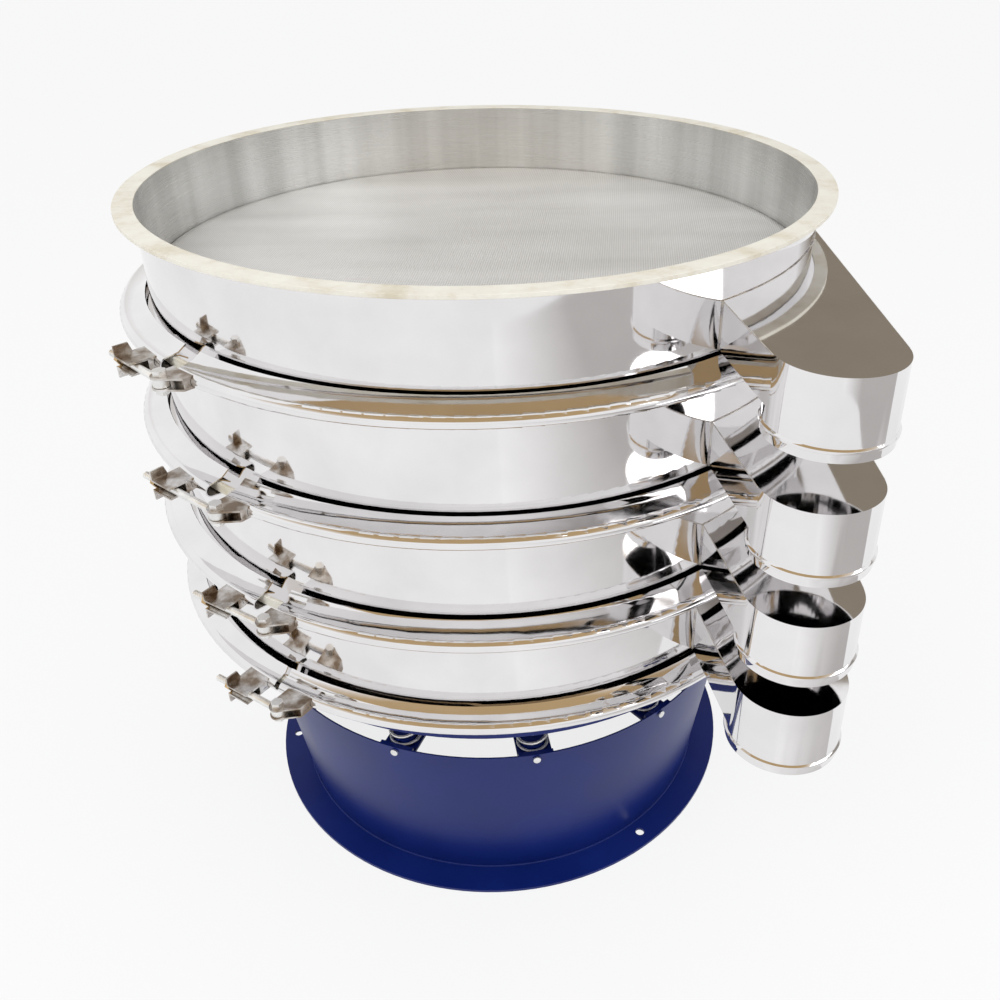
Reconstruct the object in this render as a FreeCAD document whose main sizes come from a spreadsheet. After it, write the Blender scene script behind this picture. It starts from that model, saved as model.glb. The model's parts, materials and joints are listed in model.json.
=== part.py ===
import FreeCAD, Part
import math
import os
import Sketcher

# Three-deck vibrating sieve.  Millimetres, +Z up.  The machine's axis is Z, the floor is z = 0.
# Azimuths are measured about Z from +X.  The four outlets leave along -Y on the +X side, one above the
# other, and the four clamp closures sit on the -X -Y side.

SIZES = {
    # vibrating frames: stainless tubes with a flat flange ring at each end.  Joint four lies over the
    # motor bed, and each frame is as high as from its joint to the next one up.
    "wall_radius": 580, "sheet": 2, "flange_width": 26, "last_flange_width": 20, "flange_thick": 3,
    "flange_half": 11, "joint_four": 549, "frame_four": 177, "frame_three": 187, "frame_two": 192,
    "frame_one": 171, "seat_gap": 0.3,
    # rim gasket and deck gaskets: channels over a flange, with a lip outside it
    "gasket_lip": 4, "gasket_inset": 0.5, "rim_leg": 2, "rim_under": 18, "gasket_width": 22,
    # screens: a flanged ring that carries the cloth above the joint
    "screen_clearance": 4, "screen_flange": 4, "screen_wall": 3, "cloth_rise": 37, "cloth_thick": 1,
    # clamp bands: a round nose, and legs that slope over the flange to a turned-up lip.  The lowest
    # joint has smaller flanges and a smaller band.
    "band_sheet": 2, "nose_reach": 26, "last_nose_reach": 23, "nose_round": 11, "crest_inset": 5,
    "crest_half": 14.4, "lip_clearance": 8, "lip_half": 23, "gap_angle": 4.1, "last_gap_angle": 0.9,
    # closures: azimuth of each band's gap, and how far along the rod the pivot and the hook lie from it
    "closure_one": -137.2, "closure_two": -131.6, "closure_three": -125.4, "closure_four": -126.9,
    "pivot_one": 24, "pivot_two": 37, "pivot_three": 26, "pivot_four": 38,
    "hook_one": 88, "hook_two": 108, "hook_three": 94, "hook_four": 68,
    "rod_standoff": 23, "last_rod_standoff": 32, "rod_radius": 6, "rod_tail": 38, "rod_room": 10,
    "slot_half": 7, "plate": 3, "hook_reach": 13, "hook_length": 46, "lug_height": 15,
    "pivot_radius": 6, "run_fit": 0.06, "close_fit": 0.03, "eye_radius": 12, "eye_half": 6.5,
    "ear_radius": 14, "hinge_length": 50, "head_flats": 18, "head_height": 8, "nut_flats": 19,
    "nut_height": 10,
    # outlets: a chute along a tangent and a round pipe, measured from the frame's wall
    "outlet_radius": 88, "outlet_reach": 207, "outlet_azimuth": -55.93, "mouth_near": -55.1,
    "mouth_far": -16, "chute_rise": 27, "cover_rise_one": 102, "cover_rise_two": 102,
    "cover_rise_three": 105, "cover_rise_four": 118, "lip_drop_one": 15, "lip_drop_two": 14,
    "lip_drop_three": 3, "lip_drop_four": 2, "bead_rise": 12, "bead_width": 8, "bead_height": 3,
    # discharge dome in the lowest frame
    "dome_flat": 150, "dome_rise": 62,
    # motor bed
    "bed_inset": 20, "bed_level": 472, "bed_thick": 8, "bed_wall": 3, "motor_clearance": 13,
    # springs and their seats
    "spring_count": 12, "spring_inset": 45, "spring_start": 7, "coil_radius": 27,
    "wire_radius": 3, "spring_turns": 6.5, "seat_drop": 16, "spigot_inset": 2,
    "spigot_height": 12, "cup_margin": 2, "cup_thick": 3, "shelf_thick": 5,
    "seat_leg": 7, "seat_bolt_drop": 10, "seat_bolt_radius": 4, "seat_head_radius": 7,
    "seat_head_height": 5,
    # base drum
    "drum_top_radius": 500, "drum_foot_radius": 447, "drum_top": 362, "drum_sheet": 3,
    "foot_width": 57, "foot_thick": 6, "anchor_offset": 27, "anchor_radius": 9, "anchor_start": -54,
    "hatch_width": 260, "hatch_low": 60, "hatch_high": 260, "hatch_corner": 30,
    # vibration motor and its weights
    "motor_radius": 105, "motor_below": 142, "motor_above": 84, "shield_inset": 28, "shield_step": 12,
    "motor_flange": 55, "motor_flange_thick": 14, "motor_bolt_inset": 23, "motor_bolt_radius": 6,
    "fin_height": 10, "fin_thick": 5, "shaft_radius": 20, "shaft_end": 10, "collar_width": 12,
    "collar_height": 11.7, "weight_radius": 118, "weight_hub": 20, "weight_thick": 30,
    "weight_clear": 14, "phase_gap": 4, "box_width": 110, "box_depth": 58, "box_height": 84,
    "box_rise": 22, "gland_flats": 24, "gland_nut": 10, "gland_radius": 10, "gland_length": 26,
    "gland_bore": 6,
}

doc = FreeCAD.newDocument("vibrating_sieve")
sheet = doc.addObject("Spreadsheet::Sheet", "sizes")
for row, (alias, number) in enumerate(SIZES.items(), start=1):
    sheet.set("A%d" % row, alias)
    sheet.set("B%d" % row, str(number))
    sheet.setAlias("B%d" % row, alias)
doc.recompute()


class Term:
    """A size that carries its value and the sheet expression that gives it."""

    def __init__(self, text, value):
        self.text, self.value = text, float(value)

    @staticmethod
    def of(other):
        return other if isinstance(other, Term) else Term(repr(other), other)

    def __add__(self, other):
        other = Term.of(other)
        return Term("(%s + %s)" % (self.text, other.text), self.value + other.value)

    def __sub__(self, other):
        other = Term.of(other)
        return Term("(%s - %s)" % (self.text, other.text), self.value - other.value)

    def __mul__(self, other):
        other = Term.of(other)
        return Term("(%s * %s)" % (self.text, other.text), self.value * other.value)

    def __truediv__(self, other):
        other = Term.of(other)
        return Term("(%s / %s)" % (self.text, other.text), self.value / other.value)

    def __neg__(self):
        return Term("(-1 * %s)" % self.text, -self.value)

    def __radd__(self, other):
        return Term.of(other) + self

    def __rsub__(self, other):
        return Term.of(other) - self


def size(alias):
    return Term("sizes." + alias, sheet.get(alias))


def cosine(angle):
    return Term("cos(%s * 1deg)" % angle.text, math.cos(math.radians(angle.value)))


def sine(angle):
    return Term("sin(%s * 1deg)" % angle.text, math.sin(math.radians(angle.value)))


FULL_TURN = Term("360", 360)


def bind(thing, prop, term):
    term = Term.of(term)
    thing.setExpression(prop, term.text)


# ---------------------------------------------------------------- sketches and features

def plane_of(body, role):
    return [f for f in body.Origin.OriginFeatures if f.Role == role][0]


def new_body(name):
    body = doc.addObject("PartDesign::Body", name)
    body.Label = name
    return body


def new_sketch(body, role, name, offset=None):
    """A sketch on one of the body's own planes, moved along the plane's normal by offset."""
    sketch = body.newObject("Sketcher::SketchObject", name)
    sketch.AttachmentSupport = [(plane_of(body, role), "")]
    sketch.MapMode = "FlatFace"
    if offset is not None:
        bind(sketch, "AttachmentOffset.Base.z", offset)
    return sketch


def pin(sketch, geometry, end, x, y):
    """Holds one end of a line or arc at (x, y)."""
    for kind, term, axis in (("DistanceX", Term.of(x), -2), ("DistanceY", Term.of(y), -1)):
        if term.value == 0:
            sketch.addConstraint(Sketcher.Constraint("PointOnObject", geometry, end, axis))
        else:
            index = sketch.addConstraint(Sketcher.Constraint(kind, geometry, end, term.value))
            bind(sketch, "Constraints[%d]" % index, term)


def outline(sketch, points):
    """A closed outline.  A point is (x, y), or (x, y, radius) where the edge that arrives at it is an
    arc that bulges to the right of the way round (radius > 0) or to the left (radius < 0)."""
    joints = []
    count = len(points)
    for i in range(count):
        start, end = points[i], points[(i + 1) % count]
        a = FreeCAD.Vector(Term.of(start[0]).value, Term.of(start[1]).value, 0)
        b = FreeCAD.Vector(Term.of(end[0]).value, Term.of(end[1]).value, 0)
        if len(end) == 2:
            geometry = sketch.addGeometry(Part.LineSegment(a, b), False)
            joints.append((geometry, 1, 2))
            continue
        radius = abs(Term.of(end[2]).value)
        right = Term.of(end[2]).value > 0
        chord = b - a
        normal = FreeCAD.Vector(chord.y, -chord.x, 0).normalize() * (1 if right else -1)
        rise = math.sqrt(max(radius ** 2 - (chord.Length / 2) ** 2, 0.0))
        middle = (a + b) * 0.5 + normal * (radius - rise)
        arc = Part.Arc(a, middle, b)
        geometry = sketch.addGeometry(arc, False)
        first = sketch.getPoint(geometry, 1)
        turned = (first - a).Length > (first - b).Length
        joints.append((geometry, 2, 1) if turned else (geometry, 1, 2))
        index = sketch.addConstraint(Sketcher.Constraint("Radius", geometry, radius))
        bind(sketch, "Constraints[%d]" % index, Term.of(end[2]) if right else -Term.of(end[2]))
    for i in range(count):
        here, following = joints[i], joints[(i + 1) % count]
        sketch.addConstraint(Sketcher.Constraint("Coincident", here[0], here[2], following[0], following[1]))
    for i, point in enumerate(points):
        pin(sketch, joints[i][0], joints[i][1], point[0], point[1])


def circle(sketch, x, y, radius):
    centre = FreeCAD.Vector(Term.of(x).value, Term.of(y).value, 0)
    geometry = sketch.addGeometry(Part.Circle(centre, FreeCAD.Vector(0, 0, 1), Term.of(radius).value), False)
    pin(sketch, geometry, 3, x, y)
    index = sketch.addConstraint(Sketcher.Constraint("Radius", geometry, Term.of(radius).value))
    bind(sketch, "Constraints[%d]" % index, radius)


def revolve(body, name, points, angle=None):
    """Turns an outline of (radius, height) points about the body's Z axis."""
    sketch = new_sketch(body, "XZ_Plane", name + "_profile")
    outline(sketch, points)
    feature = body.newObject("PartDesign::Revolution", name)
    feature.Profile = sketch
    feature.ReferenceAxis = (sketch, ["V_Axis"])
    feature.Angle = 360
    if angle is not None:
        bind(feature, "Angle", angle)
    return feature


def pad(body, name, draw, low, height, role="XY_Plane"):
    """Raises what draw(sketch) draws from the level low by height."""
    sketch = new_sketch(body, role, name + "_sketch", low)
    draw(sketch)
    feature = body.newObject("PartDesign::Pad", name)
    feature.Profile = sketch
    bind(feature, "Length", height)
    return feature


def pocket(body, name, draw, low, height, role="XY_Plane"):
    """Cuts what draw(sketch) draws, from the level low upwards by height."""
    doc.recompute()
    before = body.Shape.Volume
    sketch = new_sketch(body, role, name + "_sketch", low)
    draw(sketch)
    feature = body.newObject("PartDesign::Pocket", name)
    feature.Profile = sketch
    feature.Reversed = True
    bind(feature, "Length", height)
    doc.recompute()
    if body.Shape.Volume >= before:
        raise RuntimeError("pocket %s removes nothing" % name)
    return feature


def polar(body, name, feature, count, turn=360):
    pattern = body.newObject("PartDesign::PolarPattern", name)
    pattern.Originals = [feature]
    pattern.Axis = (plane_axis(body, "Z_Axis"), [""])
    pattern.Angle = turn
    bind(pattern, "Occurrences", count)
    body.Tip = pattern
    return pattern


def plane_axis(body, role):
    return [f for f in body.Origin.OriginFeatures if f.Role == role][0]


def place(thing, turn=0.0, base=(0, 0, 0)):
    turned = FreeCAD.Rotation(FreeCAD.Vector(0, 0, 1), turn)
    thing.Placement = FreeCAD.Placement(FreeCAD.Vector(*base), turned)


def ring_of(name, master, azimuths):
    """One node that holds a copy of the master's solid at each azimuth."""
    doc.recompute()
    copies = []
    for azimuth in azimuths:
        copy = master.Shape.copy()
        copy.rotate(FreeCAD.Vector(0, 0, 0), FreeCAD.Vector(0, 0, 1), azimuth)
        copies.append(copy)
    node = doc.addObject("Part::Feature", name)
    node.Shape = Part.makeCompound(copies)
    node.Label = name
    return node


def hexagon(sketch, x, y, flats):
    """A hexagon with two flats across Y."""
    corner = Term.of(flats) / math.sqrt(3)
    half = Term.of(flats) / 2
    outline(sketch, [(x - corner, y), (x - corner / 2, y - half), (x + corner / 2, y - half),
                     (x + corner, y), (x + corner / 2, y + half), (x - corner / 2, y + half)])


# ---------------------------------------------------------------- shared sizes

NAMES = ("one", "two", "three", "four")
wall, sheet_t = size("wall_radius"), size("sheet")
bore = wall - sheet_t
joint_four = size("joint_four")
joint_three = joint_four + size("frame_four")
joint_two = joint_three + size("frame_three")
joint_one = joint_two + size("frame_two")
rim_level = joint_one + size("frame_one")
joints = [joint_one, joint_two, joint_three, joint_four]
covers = [joint + size("cover_rise_" + n) for joint, n in zip(joints, NAMES)]
lips = [joint - size("lip_drop_" + n) for joint, n in zip(joints, NAMES)]
closures = [size("closure_" + n) for n in NAMES]
pivots = [size("pivot_" + n) for n in NAMES]
hooks = [size("hook_" + n) for n in NAMES]
flanges = [wall + size("flange_width")] * 3 + [wall + size("last_flange_width")]
noses = [flanges[0] + size("nose_reach")] * 3 + [flanges[3] + size("last_nose_reach")]
rods = [noses[0] + size("rod_standoff")] * 3 + [noses[3] + size("last_rod_standoff")]
half, flange_t = size("flange_half"), size("flange_thick")
inner_face = half - flange_t
outlet_radius = size("outlet_radius")
across = (wall + size("outlet_reach")) * cosine(size("outlet_azimuth"))
forward = (wall + size("outlet_reach")) * sine(size("outlet_azimuth"))
drum_top, foot_radius = size("drum_top"), size("drum_foot_radius")
spring_circle = size("drum_top_radius") - size("spring_inset")
spring_foot = drum_top - size("seat_drop")
cup_radius = size("coil_radius") + size("wire_radius") + size("cup_margin")
spigot_radius = size("coil_radius") - size("wire_radius") - size("spigot_inset")
bed_level = size("bed_level")
motor_low, motor_high = bed_level - size("motor_below"), bed_level + size("motor_above")
motor_flange = size("motor_radius") + size("motor_flange")
motor_bolt_line = motor_flange - size("motor_bolt_inset")
shaft_radius, weight_thick = size("shaft_radius"), size("weight_thick")
upper_weight_level = motor_high + size("weight_clear")
lower_weight_level = motor_low - size("weight_clear") - weight_thick
phase_weight_level = lower_weight_level - size("phase_gap") - weight_thick
shaft_low = phase_weight_level - size("seat_gap") - size("collar_height")
nodes = []


def node(thing):
    nodes.append(thing)
    return thing


# ---------------------------------------------------------------- frames

def chute_plan(sketch, inset):
    """The outlet seen from above, about the pipe's axis: two side walls that start on the frame and run
    tangent to the pipe.  inset moves the outline inwards, for the passage inside the sheet."""
    near, far = size("mouth_near"), size("mouth_far")
    ax, ay = wall * cosine(near) - across + inset, wall * sine(near) - forward
    bx, by = wall * cosine(far) - across - inset, wall * sine(far) - forward
    radius = outlet_radius - inset
    r = radius.value

    def touch(x, y, side):
        distance, heading = math.hypot(x, y), math.atan2(y, x)
        turned = heading + side * math.acos(r / distance)
        return FreeCAD.Vector(r * math.cos(turned), r * math.sin(turned), 0)

    left = touch(ax.value, ay.value, 1)
    right = touch(bx.value, by.value, -1)
    a0 = FreeCAD.Vector(ax.value, ay.value + 60, 0)
    b0 = FreeCAD.Vector(bx.value - 60, by.value, 0)
    a, b = FreeCAD.Vector(ax.value, ay.value, 0), FreeCAD.Vector(bx.value, by.value, 0)
    ends = [(a0, a), (a, left), None, (right, b), (b, b0), (b0, a0)]
    for pair in ends:
        if pair is None:
            sketch.addGeometry(Part.Arc(left, FreeCAD.Vector(0, -r, 0), right), False)
        else:
            sketch.addGeometry(Part.LineSegment(*pair), False)
    sketch.addConstraint([
        Sketcher.Constraint("Coincident", 0, 2, 1, 1), Sketcher.Constraint("Tangent", 1, 2, 2, 1),
        Sketcher.Constraint("Tangent", 2, 2, 3, 1), Sketcher.Constraint("Coincident", 3, 2, 4, 1),
        Sketcher.Constraint("Coincident", 4, 2, 5, 1), Sketcher.Constraint("Coincident", 5, 2, 0, 1),
        Sketcher.Constraint("Coincident", 2, 3, -1, 1)])
    index = sketch.addConstraint(Sketcher.Constraint("Radius", 2, r))
    bind(sketch, "Constraints[%d]" % index, radius)
    pin(sketch, 0, 2, ax, ay)
    pin(sketch, 3, 2, bx, by)
    pin(sketch, 0, 1, ax, ay + 60)
    pin(sketch, 4, 2, bx - 60, by)


def frame(name, number, top, low, low_flange):
    """A tube with a flange ring at each end and the window of its outlet."""
    body = new_body(name)
    flange = flanges[0]
    revolve(body, "shell", [
        (bore, low), (low_flange, low), (low_flange, low + flange_t), (wall, low + flange_t),
        (wall, top - flange_t), (flange, top - flange_t), (flange, top), (bore, top)])
    floor = joints[number] + size("chute_rise") + sheet_t
    doc.recompute()
    whole = body.Shape.Volume
    sketch = new_sketch(body, "XY_Plane", "window_sketch", floor)
    bind(sketch, "AttachmentOffset.Base.x", across)
    bind(sketch, "AttachmentOffset.Base.y", forward)
    chute_plan(sketch, sheet_t)
    window = body.newObject("PartDesign::Pocket", "window")
    window.Profile = sketch
    window.Reversed = True
    bind(window, "Length", covers[number] - sheet_t - floor)
    doc.recompute()
    if body.Shape.Volume >= whole:
        raise RuntimeError("no window in " + name)
    return node(body)


rim = rim_level - size("rim_leg")
frame("top_frame", 0, rim, joints[0] + inner_face, flanges[0])
frame("second_frame", 1, joints[0] - inner_face, joints[1] + inner_face, flanges[1])
frame("third_frame", 2, joints[1] - inner_face, joints[2] + inner_face, flanges[2])
frame("bottom_frame", 3, joints[2] - inner_face, joints[3] + inner_face, flanges[3])


# ---------------------------------------------------------------- gaskets and screens

def rim_gasket():
    """A channel pressed over the open rim's flange."""
    body = new_body("rim_gasket")
    inner, gap = bore - size("gasket_inset"), flanges[0]
    outer, leg = gap + size("gasket_lip"), size("rim_leg")
    under, inset = rim - flange_t, gap - size("rim_under")
    revolve(body, "channel", [
        (inner, rim), (gap, rim), (gap, under), (inset, under), (inset, under - leg),
        (outer, under - leg), (outer, rim_level), (inner, rim_level)])
    node(body)


def deck_gasket(number, screened):
    """A channel over the screen's flange; with no screen, a plain ring between the two flanges."""
    body = new_body("deck_gasket_%d" % (number + 1))
    rest = flanges[number]
    outer, inner = rest + size("gasket_lip"), rest - size("gasket_width")
    low, high = joints[number] - inner_face, joints[number] + inner_face
    under, over = joints[number] - size("screen_flange") / 2, joints[number] + size("screen_flange") / 2
    groove = [(inner, over), (rest, over), (rest, under), (inner, under)] if screened else []
    revolve(body, "channel", [(inner, low), (outer, low), (outer, high), (inner, high)] + groove)
    node(body)


def screen(number, level):
    ring = new_body("screen_ring_%d" % number)
    outer = bore - size("screen_clearance")
    inner = outer - size("screen_wall")
    top = level + size("cloth_rise")
    high = level + size("screen_flange") / 2
    low = high - size("screen_flange")
    rest = flanges[number - 1] - size("seat_gap")
    revolve(ring, "ring", [(inner, low), (rest, low), (rest, high), (outer, high), (outer, top), (inner, top)])
    node(ring)
    cloth = doc.addObject("Part::Cylinder", "screen_cloth_%d" % number)
    cloth.Label = "screen_cloth_%d" % number
    bind(cloth, "Radius", outer)
    bind(cloth, "Height", size("cloth_thick"))
    bind(cloth, "Placement.Base.z", top)
    node(cloth)


rim_gasket()
for number in range(4):
    deck_gasket(number, number < 3)
for number in range(3):
    screen(number + 1, joints[number])


# ---------------------------------------------------------------- clamp bands and closures

def clamp_band(number):
    """A split ring of formed sheet whose sloping legs draw the two flanges together."""
    body = new_body("clamp_band_%d" % (number + 1))
    t, lip, top, c = size("band_sheet"), wall + size("lip_clearance"), size("lip_half"), size("crest_half")
    nose, round_r = noses[number], size("nose_round")
    shoulder, crest = nose - round_r, flanges[number] - size("crest_inset")
    inside = round_r - t
    gap = size("last_gap_angle") if number == 3 else size("gap_angle")
    revolve(body, "band", [
        (lip, top), (lip - 1, top - t), (crest - 1, c - t), (shoulder, inside), (nose - t, 0, -inside),
        (shoulder, -inside, -inside), (crest - 1, t - c), (lip - 1, t - top), (lip, -top), (crest, -c),
        (shoulder, -round_r), (nose, 0, round_r), (shoulder, round_r, round_r), (crest, c)],
        FULL_TURN - gap)
    place(body, closures[number].value + gap.value / 2, (0, 0, joints[number].value))
    return node(body)


def hook_bracket(number):
    """Two plates joined by a web that is welded to the band, with a lug turned up and one turned down
    for the nut to pull on.  The rod lies in the slot between them."""
    body = new_body("hook_bracket_%d" % (number + 1))
    slot, plate, reach = size("slot_half"), size("plate"), rods[number] + size("hook_reach")
    root, web = noses[number] - size("nose_round") * 2, rods[number] - size("rod_radius") - size("rod_room")
    out, lug = slot + plate, size("lug_height")
    far, length = hooks[number], size("hook_length")

    def channel(sketch):
        outline(sketch, [(root, -out), (reach, -out), (reach, -slot), (web, -slot), (web, slot),
                         (reach, slot), (reach, out), (root, out)])

    def lugs(sketch):
        for side in (1, -1):
            low, high = (out - plate) * side, (out + lug) * side
            outline(sketch, [(web, low), (reach, low), (reach, high), (web + 6, high)])

    pad(body, "channel", channel, far - length, length, "XZ_Plane")
    pad(body, "lugs", lugs, far - plate, plate, "XZ_Plane")
    shape_to_band(body, number)
    place(body, closures[number].value, (0, 0, joints[number].value))
    return node(body)


def shape_to_band(body, number):
    """Hollows a bracket's root to the band's nose and shoulders."""
    gap, c, round_r = size("seat_gap"), size("crest_half"), size("nose_round") + size("seat_gap")
    shoulder, crest = noses[number] - size("nose_round"), flanges[number] - size("crest_inset")
    nose = noses[number] + gap
    doc.recompute()
    before = body.Shape.Volume
    sketch = new_sketch(body, "XZ_Plane", "band_hollow_profile")
    outline(sketch, [(crest - 20, -c - 12), (crest, -c - 12), (crest, -c - gap), (shoulder, -round_r),
                     (nose, 0, round_r), (shoulder, round_r, round_r), (crest, c + gap), (crest, c + 12),
                     (crest - 20, c + 12)])
    groove = body.newObject("PartDesign::Groove", "band_hollow")
    groove.Profile = sketch
    groove.ReferenceAxis = (sketch, ["V_Axis"])
    groove.Angle = 360
    doc.recompute()
    if body.Shape.Volume >= before:
        raise RuntimeError("hollow removes nothing from " + body.Label)


def hinge_bracket(number):
    """Two ears with the pivot hole, joined by a web on the band."""
    body = new_body("hinge_bracket_%d" % (number + 1))
    slot, plate = size("slot_half"), size("plate")
    line, pivot, ear = rods[number], pivots[number], size("ear_radius")
    root, web = noses[number] - size("nose_round") * 2, line - size("eye_radius") - size("plate")
    near, far = pivot - ear, pivot - ear + size("hinge_length")

    def ears(sketch):
        side = cosine(Term("60", 60))
        outline(sketch, [(root, near), (line, near), (line + ear * side, pivot + ear * sine(Term("60", 60)), ear),
                         (web, far), (root, far)])

    def web_block(sketch):
        outline(sketch, [(root, near + 4), (web, near + 4), (web, far), (root, far)])

    pad(body, "upper_ear", ears, slot, plate)
    pad(body, "web", web_block, -slot, slot * 2)
    pad(body, "lower_ear", ears, -slot - plate, plate)
    pocket(body, "pivot_hole", lambda s: circle(s, line, pivot, size("pivot_radius") + size("seat_gap")),
           -slot - plate - 1, (slot + plate + 1) * 2)
    shape_to_band(body, number)
    place(body, closures[number].value, (0, 0, joints[number].value))
    return node(body)


def swing_bolt(number):
    """An eye bolt: the eye turns on the pivot, the rod lies across the gap in the hook's slot."""
    body = new_body("swing_bolt_%d" % (number + 1))
    line, pivot = rods[number], pivots[number]
    eye, eye_half = size("eye_radius"), size("eye_half")
    length = pivot + hooks[number] + size("rod_tail")
    pad(body, "rod", lambda s: circle(s, line, 0, size("rod_radius")), -pivot + eye * 0.75,
        length - eye * 0.75, "XZ_Plane")
    pad(body, "eye", lambda s: circle(s, line, pivot, eye), -eye_half, eye_half * 2)
    pocket(body, "eye_bore", lambda s: circle(s, line, pivot, size("pivot_radius") + size("run_fit")),
           -eye_half - 4, (eye_half + 4) * 2)
    place(body, closures[number].value, (0, 0, joints[number].value))
    return node(body)


def clamp_nut(number):
    body = new_body("clamp_nut_%d" % (number + 1))
    line, far = rods[number], hooks[number] + size("seat_gap")
    sketch = new_sketch(body, "XZ_Plane", "hex_sketch", far)
    hexagon(sketch, line, 0, size("nut_flats"))
    circle(sketch, line, 0, size("rod_radius") + size("run_fit"))
    feature = body.newObject("PartDesign::Pad", "hex")
    feature.Profile = sketch
    bind(feature, "Length", size("nut_height"))
    place(body, closures[number].value, (0, 0, joints[number].value))
    return node(body)


def pivot_bolt(number):
    """A hexagon bolt down through both ears, with its nut below."""
    body = new_body("pivot_bolt_%d" % (number + 1))
    line, pivot, flats, head = rods[number], pivots[number], size("head_flats"), size("head_height")
    out = size("slot_half") + size("plate")
    pad(body, "shank", lambda s: circle(s, line, pivot, size("pivot_radius")), -out - head - 3, (out + head) * 2)
    pad(body, "head", lambda s: hexagon(s, line, pivot, flats), out, head)
    pad(body, "nut", lambda s: hexagon(s, line, pivot, flats), -out - head, head)
    place(body, closures[number].value, (0, 0, joints[number].value))
    return body


def pivot_bolts():
    """The four pivot bolts are one set of like fasteners."""
    made = [pivot_bolt(number) for number in range(4)]
    doc.recompute()
    bolts = doc.addObject("Part::Feature", "pivot_bolts")
    bolts.Shape = Part.makeCompound([body.Shape for body in made])
    bolts.Label = "pivot_bolts"
    return node(bolts)


for number in range(4):
    clamp_band(number)
    hook_bracket(number)
    hinge_bracket(number)
    swing_bolt(number)
    clamp_nut(number)
pivot_bolts()


# ---------------------------------------------------------------- outlets

def spout(number):
    """A sheet chute that leaves the frame along a tangent and ends in a round vertical pipe with a
    rolled bead above its lip."""
    body = new_body("spout_%d" % (number + 1))
    floor, cover = joints[number] + size("chute_rise"), covers[number]
    lip, radius = lips[number], outlet_radius
    bead_low, bead, high = lip + size("bead_rise"), size("bead_width"), size("bead_height")
    inside = radius - sheet_t
    pad(body, "chute", lambda s: chute_plan(s, Term("0", 0)), floor, cover - floor)
    revolve(body, "pipe", [
        (inside, lip), (radius, lip), (radius, bead_low), (radius + high, bead_low + bead / 4),
        (radius + high, bead_low + bead * 0.75), (radius, bead_low + bead),
        (radius, floor + sheet_t), (inside, floor + sheet_t)])
    pocket(body, "passage", lambda s: chute_plan(s, sheet_t), floor + sheet_t, cover - floor - sheet_t * 2)
    pocket(body, "drop", lambda s: circle(s, 0, 0, inside), lip - 1, floor + sheet_t * 2 - lip)
    pocket(body, "frame_side", lambda s: circle(s, -across, -forward, wall + size("seat_gap")),
           lip - 1, cover - lip + 2)
    place(body, 0.0, (across.value, forward.value, 0))
    return node(body)


for number in range(4):
    spout(number)


# ---------------------------------------------------------------- dome and motor bed

def discharge_dome():
    """The raised floor of the lowest frame: it sheds the fines to the wall and covers the upper weight."""
    body = new_body("discharge_dome")
    edge = bore - size("seat_gap")
    low, flat = joints[3] + size("chute_rise") + sheet_t, size("dome_flat")
    top = low + size("dome_rise")
    revolve(body, "cone", [(edge, low - sheet_t), (edge, low), (flat, top), (0, top), (0, top - sheet_t),
                           (flat, top - sheet_t)])
    return node(body)


def motor_bed():
    """The vibrating bottom: a flanged pan on the springs, with the motor through its floor."""
    body = new_body("motor_bed")
    outer, thick = wall - size("bed_inset"), size("bed_thick")
    inner, hole_radius = outer - size("bed_wall"), size("motor_radius") + size("motor_clearance")
    top, under = joints[3] - inner_face, joints[3] - half
    revolve(body, "pan", [
        (hole_radius, bed_level), (outer, bed_level), (outer, under), (flanges[3], under), (flanges[3], top),
        (inner, top), (inner, bed_level + thick), (hole_radius, bed_level + thick)])
    hole = pocket(body, "bolt_hole", lambda s: circle(s, motor_bolt_line, 0,
                  size("motor_bolt_radius") + size("seat_gap")), bed_level - 1, thick + 2)
    polar(body, "bolt_holes", hole, 8)
    return node(body)


discharge_dome()
motor_bed()


# ---------------------------------------------------------------- springs and seats

count = int(size("spring_count").value)
azimuths = [size("spring_start").value + 360.0 * k / count for k in range(count)]
spring_top = bed_level - size("cup_thick")


def upper_seat():
    body = new_body("upper_seat_master")
    pad(body, "cup", lambda s: circle(s, spring_circle, 0, cup_radius), spring_top, size("cup_thick"))
    pad(body, "spigot", lambda s: circle(s, spring_circle, 0, spigot_radius),
        spring_top - size("spigot_height"), size("spigot_height"))
    return body


def wall_inside(level):
    """The drum wall's inner radius at a level."""
    top = size("drum_top_radius")
    return foot_radius - size("drum_sheet") + (top - foot_radius) * (level - size("foot_thick")) / (
        drum_top - size("foot_thick"))


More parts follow.
